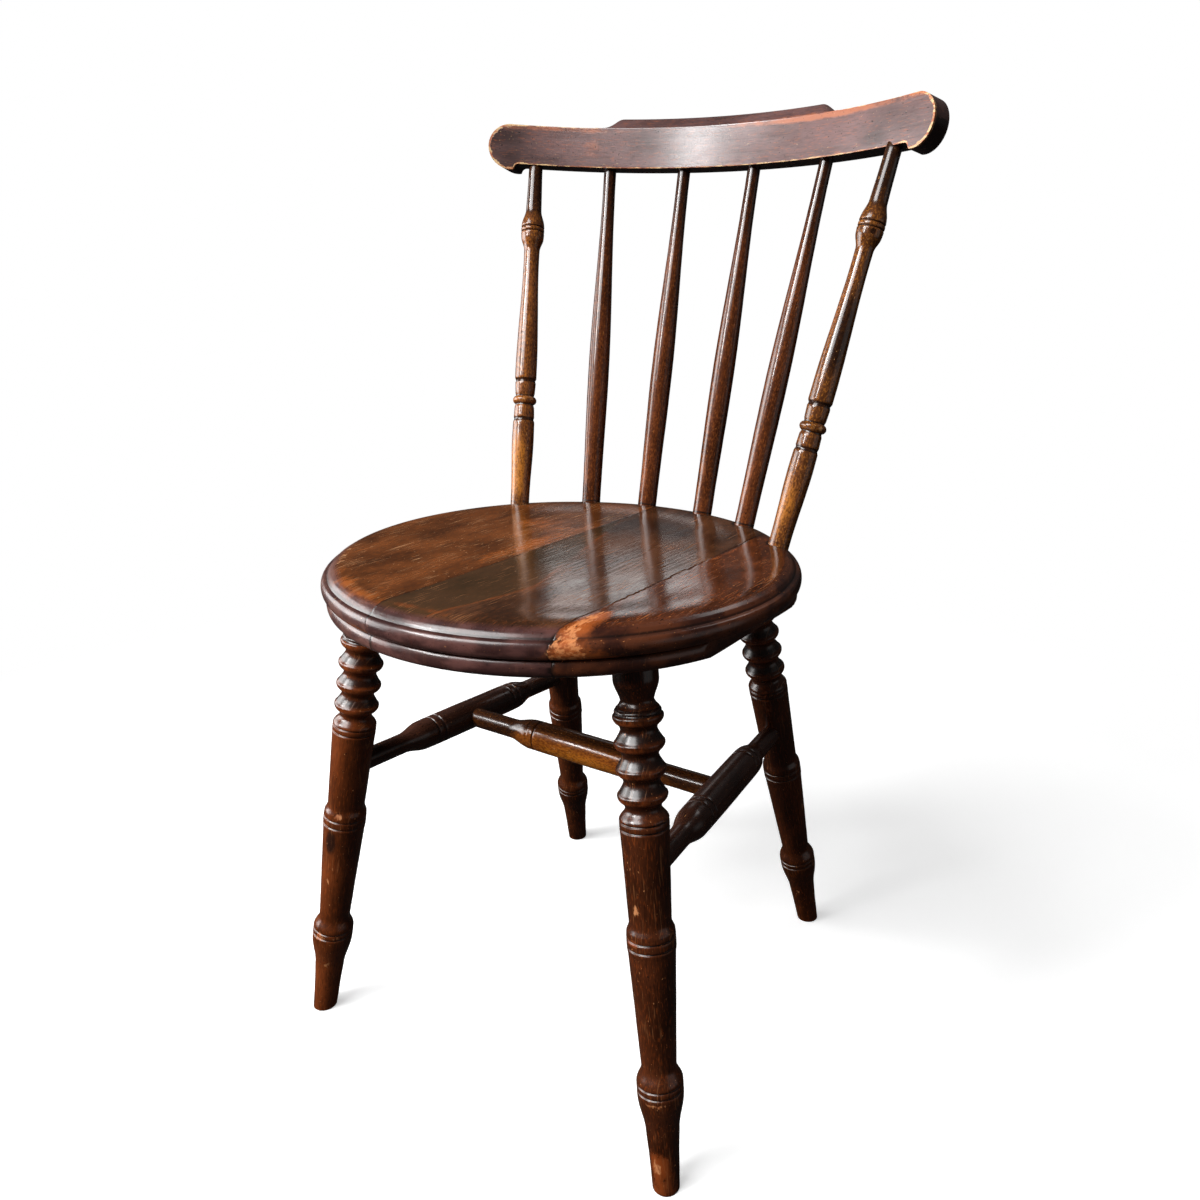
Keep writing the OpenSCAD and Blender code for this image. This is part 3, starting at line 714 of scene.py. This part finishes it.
class CHAIR_OT_legs(Operator):
    """Four turned legs with beads, collar, double ring and ankle"""
    bl_idname = "chair.legs"
    bl_label = "Legs"

    def execute(self, context):
        s = context.scene.chair_turnings
        # chips, scuffs and crackle, each leg its own
        hurts = {
            "leg_front_left": [("bare", 215, -66, 5, 5, 0.72), ("dent", 215, -66, 4, 4, 0.5),
                               ("grime_and_shade", 188, -80, 13, 6, 1.1), ("bare", 86, -88, 8, 5, 0.7),
                               ("dent", 86, -88, 6, 4, 0.4), ("bare", 87, -32, 3, 12, 0.52),
                               ("bare", 54, -60, 12, 5, 0.5), ("bare", 148, -80, 16, 2.5, 0.5),
                               ("worn", 20, -70, 18, 9, 0.6), ("worn", 290, -60, 50, 9, 0.4)],
            "leg_front_right": [("bare", 235, -96, 8, 6, 0.64), ("bare", 80, -70, 2.5, 16, 0.6),
                                ("bare", 88, -110, 3, 4, 0.62), ("worn", 24, -80, 18, 14, 1.3),
                                ("bare", 24, -90, 14, 6, 0.6), ("worn", 209, -112, 4, 8, 0.9),
                                ("bare", 209, 20, 3, 5, 0.5), ("worn", 262, -122, 40, 6, 0.75),
                                ("grime_and_shade", 262, -50, 36, 9, 0.45), ("grime_and_shade", 150, -40, 40, 8, 0.35),
                                ("worn", 150, -100, 45, 7, 0.45)],
            "leg_back_left": [("bare", 52, -50, 4, 3, 0.6), ("worn", 295, -40, 30, 12, 0.3)],
            "leg_back_right": [("worn", 294, -80, 16, 9, 0.9), ("bare", 255, -75, 6, 5, 0.52),
                               ("bare", 50, -80, 6, 4, 0.58), ("worn", 20, -60, 14, 10, 0.5)]}
        foot, ankle, up = s.foot / MM, s.ankle / MM, s.ankle_up / MM
        ring, ring_up, collar = s.ring / MM, s.ring_up / MM, s.collar / MM
        cove, big, pitch = s.cove / MM, s.bead / MM, s.bead_pitch / MM
        vase = s.vase / MM
        for i, node in enumerate(("leg_front_left", "leg_front_right",
                                  "leg_back_left", "leg_back_right")):
            depth = (2.4, 1.0, 1.3, 1.4)[i]          # each leg took the stain its own way; the front left leg's much lighter stain is partly painted light, for light falling across it
            stain = [c * k for c, k in zip(s.leg_colour[:3], (depth, depth * 0.88, depth * 0.6))]
            stain.append(1)
            wood = stained_beech("stained_beech_" + node, stain, light="#9c4a1c", raw="#cf8a58",
                                 wear=0.5, speck=0.55, gloss=0.23, haze=0.28, figure=1.1,
                                 blotch=0.8, scratch=0.45)
            line = axis_of(node)
            l = (line[1] - line[0]).length / MM - LEG_TENON
            down, first = l - s.collar_down / MM, l - s.bead_down / MM
            # the turning starts 8 mm under the floor, and the foot is sawn level with it
            p = [(-8, foot - 0.4), (up - 57, foot + 1.1), (up - 39, foot + 2.3)]
            p += ease((up - 39, foot + 2.3), (up - 5, ankle))
            p += cut_line(up - 2.5, ankle) + cut_line(up + 3, ankle)
            p += ease((up + 4, ankle), (up + 17, cove))
            p += [(ring_up - 9, ring - 0.6)]
            p += cut_line(ring_up - 3.5, ring) + cut_line(ring_up + 3.5, ring)
            p += ease((ring_up + 7, ring), (ring_up + 15, ring - 2.6), 4)
            p += [(down - 8, collar - 0.3)]
            p += cut_line(down - 2.5, collar) + cut_line(down + 3, collar)
            p += ease((down + 4, collar), (first - pitch / 2, cove), 8)
            for k in range(4):
                z = first + k * pitch
                p += [(z + a, b) for a, b in (
                    (-9.4, cove), (-7.6, cove + 0.4), (-5.8, cove + 1.9), (-4.2, big - 1.7),
                    (-2.8, big - 0.7), (-1.4, big - 0.15), (0.0, big), (1.0, big - 0.25),
                    (1.5, big - 0.9), (3.2, big - 1.9), (5.2, big - 3.1), (7.2, big - 4.3),
                    (8.9, cove + 0.3), (10.3, cove))]
                if k == 3:                    # a small ring between two lines over the top bead
                    p[-5:] = [(z + a, b) for a, b in (
                        (2.4, big - 1.9), (3.0, big - 2.2), (3.6, big - 1.5), (4.6, big - 1.6),
                        (5.5, big - 2.2), (6.0, big - 3.2), (6.6, big - 2.9), (8.4, cove + 0.5),
                        (10.3, cove - 0.6))]
            p += ease((first + 3.5 * pitch, cove - 1.4), (l - 15, vase))
            p += [(l, vase - 0.5), (l + 5, vase - 1), (l + 5, 11), (l + LEG_TENON, 11)]
            marks = [("worn", 0, 0, 10, RING, 0.7), ("grime_and_shade", l - 2, 0, 5, RING, 0.7),
                     ("worn", l - 17, -90, 6, 16, 0.8)] + hurts[node]
            for k in range(4):                # dark domes over worn lips
                z = first + k * pitch
                marks += [("worn", z - 3.2, 0, 2.4, RING, 0.7),
                          ("grime_and_shade", z + 5, 0, 3.6, RING, 0.75)]
            turn_piece(node, wood, p, line, marks,
                       seed=0.41 * (i + 1), step=2.0, steps=56, floor=True)
        return {"FINISHED"}


class CHAIR_OT_stretchers(Operator):
    """Two side stretchers and the cross stretcher between them"""
    bl_idname = "chair.stretchers"
    bl_label = "Stretchers"

    def execute(self, context):
        s = context.scene.chair_turnings
        thick, end = s.stretcher / MM, s.stretcher_end / MM
        side = stained_beech("stained_beech_side_stretchers", list(s.side_colour),
                             light="#6b3a22", wear=0.35, speck=0.5, gloss=0.27)
        cross = stained_beech("stained_beech_cross_stretcher", list(s.cross_colour),
                              light="#e0862a", wear=0.5, speck=0.6, gloss=0.17, mottle=0.5)
        for i, (node, slot, wood, near, far) in enumerate((
                ("side_stretcher_left", "side_stretchers", side, 45.5, 56),
                ("side_stretcher_right", "side_stretchers", side, 45.5, 56),
                ("cross_stretcher", "cross_stretcher", cross, 56.5, 56.5))):
            line = axis_of(node)
            l = (line[1] - line[0]).length / MM
            m = l / 2
            # plain ends, and a thick middle with two lines near each of its ends
            p = [(0, end), (m - 85, end)] + ease((m - 85, end), (m - 60, thick - 0.4))
            p += cut_line(m - near - 4, thick - 0.2) + cut_line(m - near + 4, thick - 0.1)
            p += [(m, thick)]
            p += cut_line(m + far - 4, thick - 0.1) + cut_line(m + far + 4, thick - 0.2)
            p += ease((m + 63, thick - 0.4), (m + 85, end)) + [(l, end)]
            marks = [("grime_and_shade", 4, 0, 5, RING, 0.6), ("grime_and_shade", l - 4, 0, 5, RING, 0.6)]
            if slot == "cross_stretcher":     # golden below, where no hand or foot has rubbed
                marks += [("worn", m, 118, 55, 13, 1.4), ("grime_and_shade", m - 110, 0, 40, RING, 0.7),
                          ("grime_and_shade", m, 12, 300, 12, 0.85), ("grime_and_shade", m + 110, 0, 30, RING, 0.5)]
            turn_piece(node, wood, p, line, marks, seed=2.3 + 0.37 * i)
        return {"FINISHED"}


class CHAIR_OT_spindles(Operator):
    """Four plain spindles"""
    bl_idname = "chair.spindles"
    bl_label = "Spindles"

    def execute(self, context):
        s = context.scene.chair_turnings
        foot, belly, top = s.spindle_foot / MM, s.spindle / MM, s.spindle_top / MM
        wood = stained_beech("stained_beech_spindles", list(s.spindle_colour),
                             light="#b5652e", wear=0.45, speck=0.4, gloss=0.17, figure=1.0,
                             mottle=0.3)
        for i, node in enumerate(("spindle_outer_left", "spindle_inner_left",
                                  "spindle_inner_right", "spindle_outer_right")):
            line = axis_of(node)
            l = (line[1] - line[0]).length / MM - (SEAT_TENON + RAIL_TENON)
            high = 126                        # height of the belly
            p = [(-SEAT_TENON, foot), (4, foot)] + ease((4, foot), (high, belly))
            p += ease((high, belly), (l - 12, top), 16) + [(l + RAIL_TENON, top)]
            marks = [("grime_and_shade", 0, 0, 1.2, RING, 0.8), ("grime_and_shade", l, 0, 5, RING, 0.6),
                     ("worn", 44, -110, 60, 8, 0.9), ("grime_and_shade", l - 16, 0, 90, RING, 0.6)]
            turn_piece(node, wood, p, line, marks,
                       tenon=SEAT_TENON, seed=4.1 + 0.53 * i, steps=40)
        return {"FINISHED"}


class CHAIR_OT_uprights(Operator):
    """Two turned uprights with a bead low down and a ring pair near the rail"""
    bl_idname = "chair.uprights"
    bl_label = "Uprights"

    def execute(self, context):
        s = context.scene.chair_turnings
        foot, r, top = s.spindle_foot / MM, s.upright_ring / MM, s.upright_top / MM
        wood = stained_beech("stained_beech_uprights", list(s.upright_colour),
                             light="#cc7f2e", deep="#1d0e0a", raw="#e0a468", wear=0.5, speck=0.6,
                             gloss=0.16, figure=0.9, mottle=0.55)
        b = 104                               # height of the bead
        for i, node in enumerate(("upright_left", "upright_right")):
            line = axis_of(node)
            l = (line[1] - line[0]).length / MM - (SEAT_TENON + RAIL_TENON)
            t = l - 67                        # height of the ring pair
            p = [(-SEAT_TENON, foot), (4, foot)] + ease((4, foot), (b - 38, r - 0.6))
            p += [(b - 22, r - 0.9), (b - 19.3, r - 2), (b - 17, r - 1.3), (b - 7, r - 1.7),
                  (b - 4.6, r - 2.6)]
            p += bead(b, 8, r - 2.6, r + 0.3)
            p += [(b + 4.6, r - 2.6), (b + 7, r - 1.9), (b + 17.5, r - 1.3), (b + 20, r - 2),
                  (b + 22.5, r - 0.8), (b + 30, r - 0.8)]
            p += ease((b + 30, r - 0.8), (t - 28, r - 3.9), 12) + [(t - 19, r - 3.8)]
            p += ease((t - 19, r - 3.8), (t - 6, r - 0.3), 6)
            p += cut_line(t - 1, r) + cut_line(t + 3.5, r)
            p += ease((t + 6, r - 0.3), (t + 22, top + 0.9), 8)
            p += [(l - 12, top), (l + RAIL_TENON, top)]
            marks = [("grime_and_shade", 0, 0, 1.2, RING, 0.8), ("grime_and_shade", b - 19.3, 0, 1.7, RING, 1.4),
                     ("grime_and_shade", b + 20, 0, 1.7, RING, 1.4), ("bare", b, 0, 3.2, RING, 0.45),
                     ("worn", 34, -95, 34, 13, 1.15), ("worn", b + 10, 0, 16, RING, 0.3),
                     ("worn", t + 1, 0, 8, RING, 0.5), ("grime_and_shade", l - 14, 0, 50, RING, 0.85),
                     # painted shade: a darker band down the side turned away from the key lamp
                     ("grime_and_shade", b + 74, -20, 45, 9, 0.35),
                     # the tenon is pared away inside the rail, clear of its front face
                     ("dent", l + 10, -90, 7, 5, 4.2), ("dent", l + 10, -60, 7, 5, 2.5)]
            if node == "upright_left":
                marks += [("worn", 44, -80, 46, 14, 0.7)]
            if node == "upright_right":       # crackled polish, and a nail hole in the ring
                marks += [("grime_and_shade", 184, -70, 42, 7, 0.9), ("grime_and_shade", t - 5, -55, 1.7, 1.7, 2),
                          ("dent", t - 5, -55, 1.6, 1.6, 1.0)]
            turn_piece(node, wood, p, line, marks,
                       tenon=SEAT_TENON, seed=6.9 + 0.61 * i, steps=44, step=1.8)
        return {"FINISHED"}


class CHAIR_OT_rail(Operator):
    """Sawn crest rail, hollow to the front, with a chamfered tablet and round ears"""
    bl_idname = "chair.rail"
    bl_label = "Crest rail"

    def execute(self, context):
        s = context.scene.chair_rail
        tall, thick, sweep, ear, out = (v / MM for v in (s.height, s.thick, s.sweep, s.ear,
                                                         s.ear_out))
        rise, half, ramp, chamfer = (v / MM for v in (s.tablet, s.tablet_half, s.ramp,
                                                      s.chamfer))
        scoop = 4.6                               # radius of the notch under each ear
        cut_x = out - ear / 2 + scoop / 2
        middle = tall - ear                       # height of an ear's centre
        squat = 0.9                               # an ear's width over its height, end turned in

        def upper(a):
            if a > out:
                return middle + math.sqrt(max(0, ear * ear - ((a - out) / squat) ** 2))
            k = min(1, max(0, (a - half) / ramp))
            return tall + rise * (1 + math.cos(math.pi * k)) / 2

        def lower(a):
            if a <= cut_x:
                return 0.0
            if a < cut_x + scoop * 0.98:
                return -scoop + math.sqrt(max(0, scoop * scoop - (a - cut_x) ** 2))
            return middle - math.sqrt(max(0, ear * ear - ((a - out) / squat) ** 2))

        # one cross section: up the front, over the top, down the back and under
        edge = [0, 0.8, 1.8, 3.4, 6.5, 11, 16.5]
        rows = [e / tall for e in edge] + [0.55] + [1 - e / tall for e in reversed(edge)]
        over = [1.2, 4, 7.5, 10.8, 14.5, 18, 20.5]
        section = [(0, v) for v in rows] + [(d, 1) for d in over] + \
            [(thick, v) for v in reversed(rows)] + [(d, 0) for d in reversed(over)]
        # it is fanned out about a far centre, then each point is moved to its place on the rail
        far, fan = 1000, 1.0
        bm = bmesh.new()
        verts = [bm.verts.new((0, d, v)) for d, v in section]
        edges = [bm.edges.new((a, b)) for a, b in zip(verts, verts[1:] + verts[:1])]
        bmesh.ops.spin(bm, geom=verts + edges, cent=(0, -far, 0), axis=(0, 0, 1),
                       angle=-fan, steps=280, use_merge=False)
        # share of half the fan, and how far along the rail that is, in mm
        keys, spots = [0, 0.40, 0.52, 0.70, 0.78, 1.0], [0, 103, 130, 196, out, out + 1]
        grain, worn, grime_and_shade, bare = layers(bm)[:4]
        place = Matrix.Translation(self.lower_front(s)) @ Matrix.Rotation(-s.tilt, 4, "X")
        for v in bm.verts:
            t = 2 * math.atan2(v.co.x, v.co.y + far) / fan - 1
            d = math.hypot(v.co.x, v.co.y + far) - far
            a = float(np.interp(abs(t), keys, spots))
            if abs(t) > keys[-2]:
                share = (abs(t) - keys[-2]) / (1 - keys[-2])
                a = out + squat * ear * math.sin(math.pi / 2 * share)
            side = 1 if t > 0 else -1
            lean = math.radians(15) * min(1.0, a / out)      # the ends are sawn splayed
            phi = math.asin(a / sweep)
            reach = d / math.cos(phi - lean)
            x = a + reach * math.sin(lean)
            y = sweep * math.cos(phi) - sweep + reach * math.cos(lean)
            low, top = lower(a), upper(a if a > 150 else x)      # ears stand square to the sweep
            cap = top
            if top > tall:                        # chamfer along the tablet, over a small lip
                cap = tall + 0.3 + (top - tall) * min(1, max(0, d) / chamfer)
            z = low + (cap - low) * v.co.z
            over_edge = min(abs(z - low), abs(z - top)) if d < 0.5 or d > thick - 0.5 else \
                min(d, thick - d)
            if a > out and d < 0.5:
                over_edge = min(over_edge, ear - math.hypot((a - out) / squat, z - middle))
            along = side * x
            front = 1 if d < 1.3 else 0.35
            ends = smooth_step(a, 185, 205)
            wear = front * math.exp(-over_edge / 2.0) * 0.7        # every edge is rubbed
            if d < 4:                             # rubbed along the foot of the tablet
                wear += 0.95 * dab(z - tall + 1.5, 3.2) * smooth_step(along, -60, 30) \
                    * smooth_step(along, 185, 120)
            if d < 1:
                wear += 0.7 * dab(z - tall + 3, 3) * smooth_step(a, 30, 90)
            wear += 0.9 * dab(along + 130, 16, z - 17, 12) + 0.5 * dab(along - 130, 26, z - 8, 12)
            dirt_and_shade = 0.6 if v.co.z < 0.001 and d > 1 else 0.0
            if top > tall + 1 and z > tall + 1 and d < chamfer:
                dirt_and_shade += 0.3
            dirt_and_shade += 0.6 * dab(along - 168, 22, z - 8, 9) + 0.5 * dab(along + 205, 22)
            skin = front * (0.5 + 0.35 * ends) * dab(over_edge, 1.2 + 1.7 * ends)
            if z - low < 1.6 and d < 1.5:         # lower front edge
                wear += 0.3
                skin += 0.16
            if a > out + 6 and 1.5 < d < thick - 1.5:        # end face of an ear
                dirt_and_shade += 0.1
            v[grain] = (d * MM + 9.1, z * MM, side * sweep * phi * MM)
            v[worn], v[grime_and_shade], v[bare] = wear, dirt_and_shade, skin
            v.co = (along * MM, y * MM, z * MM)
        bmesh.ops.remove_doubles(bm, verts=bm.verts[:], dist=2e-5)
        bmesh.ops.recalc_face_normals(bm, faces=bm.faces[:])
        soften(bm, [e for e in bm.edges if len(e.link_faces) == 2
                    and e.calc_face_angle(0) > math.radians(38)], 0.45)
        bmesh.ops.transform(bm, matrix=place, verts=bm.verts[:])
        wood = stained_beech("stained_beech_crest_rail", list(s.rail_stain_and_sheen), light="#c06a3c",
                             raw="#f0c890", wear=0.5, speck=0.3, gloss=0.24, haze=0.22,
                             figure=0.8, blotch=1.2)
        make_piece(bm, "sawn_crest_rail", "crest_rail", wood, sharp=30)
        return {"FINISHED"}

    @staticmethod
    def lower_front(s):
        """Middle of the rail's lower front edge, from the box of the whole rail."""
        high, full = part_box("crest_rail")[1], s.height + s.tablet
        forward = s.sweep - math.sqrt(s.sweep ** 2 - s.tablet_half ** 2)
        return (0, high.y - s.thick * math.cos(s.tilt) - full * math.sin(s.tilt),
                high.z - full * math.cos(s.tilt) + (s.chamfer - forward) * math.sin(s.tilt))


STEPS = (CHAIR_OT_stage, CHAIR_OT_seat, CHAIR_OT_legs, CHAIR_OT_stretchers,
         CHAIR_OT_spindles, CHAIR_OT_uprights, CHAIR_OT_rail)


class CHAIR_PT_pieces(Panel):
    bl_idname = "CHAIR_PT_pieces"
    bl_label = "Spindle-back chair"
    bl_space_type = "VIEW_3D"
    bl_region_type = "UI"
    bl_category = "Chair"

    def draw(self, context):
        for step in STEPS:
            self.layout.operator(step.bl_idname)


GROUPS = {"chair_seat": ChairSeat, "chair_turnings": ChairTurnings, "chair_rail": ChairRail}
CLASSES = tuple(GROUPS.values()) + STEPS + (CHAIR_PT_pieces,)


def register():
    for item in CLASSES:
        bpy.utils.register_class(item)
    for name, group in GROUPS.items():
        setattr(bpy.types.Scene, name, PointerProperty(type=group))


def unregister():
    for name in GROUPS:
        delattr(bpy.types.Scene, name)
    for item in reversed(CLASSES):
        bpy.utils.unregister_class(item)


def main():
    register()
    for step in STEPS:
        family, action = step.bl_idname.split(".")
        getattr(getattr(bpy.ops, family), action)()


if __name__ == "__main__":
    main()
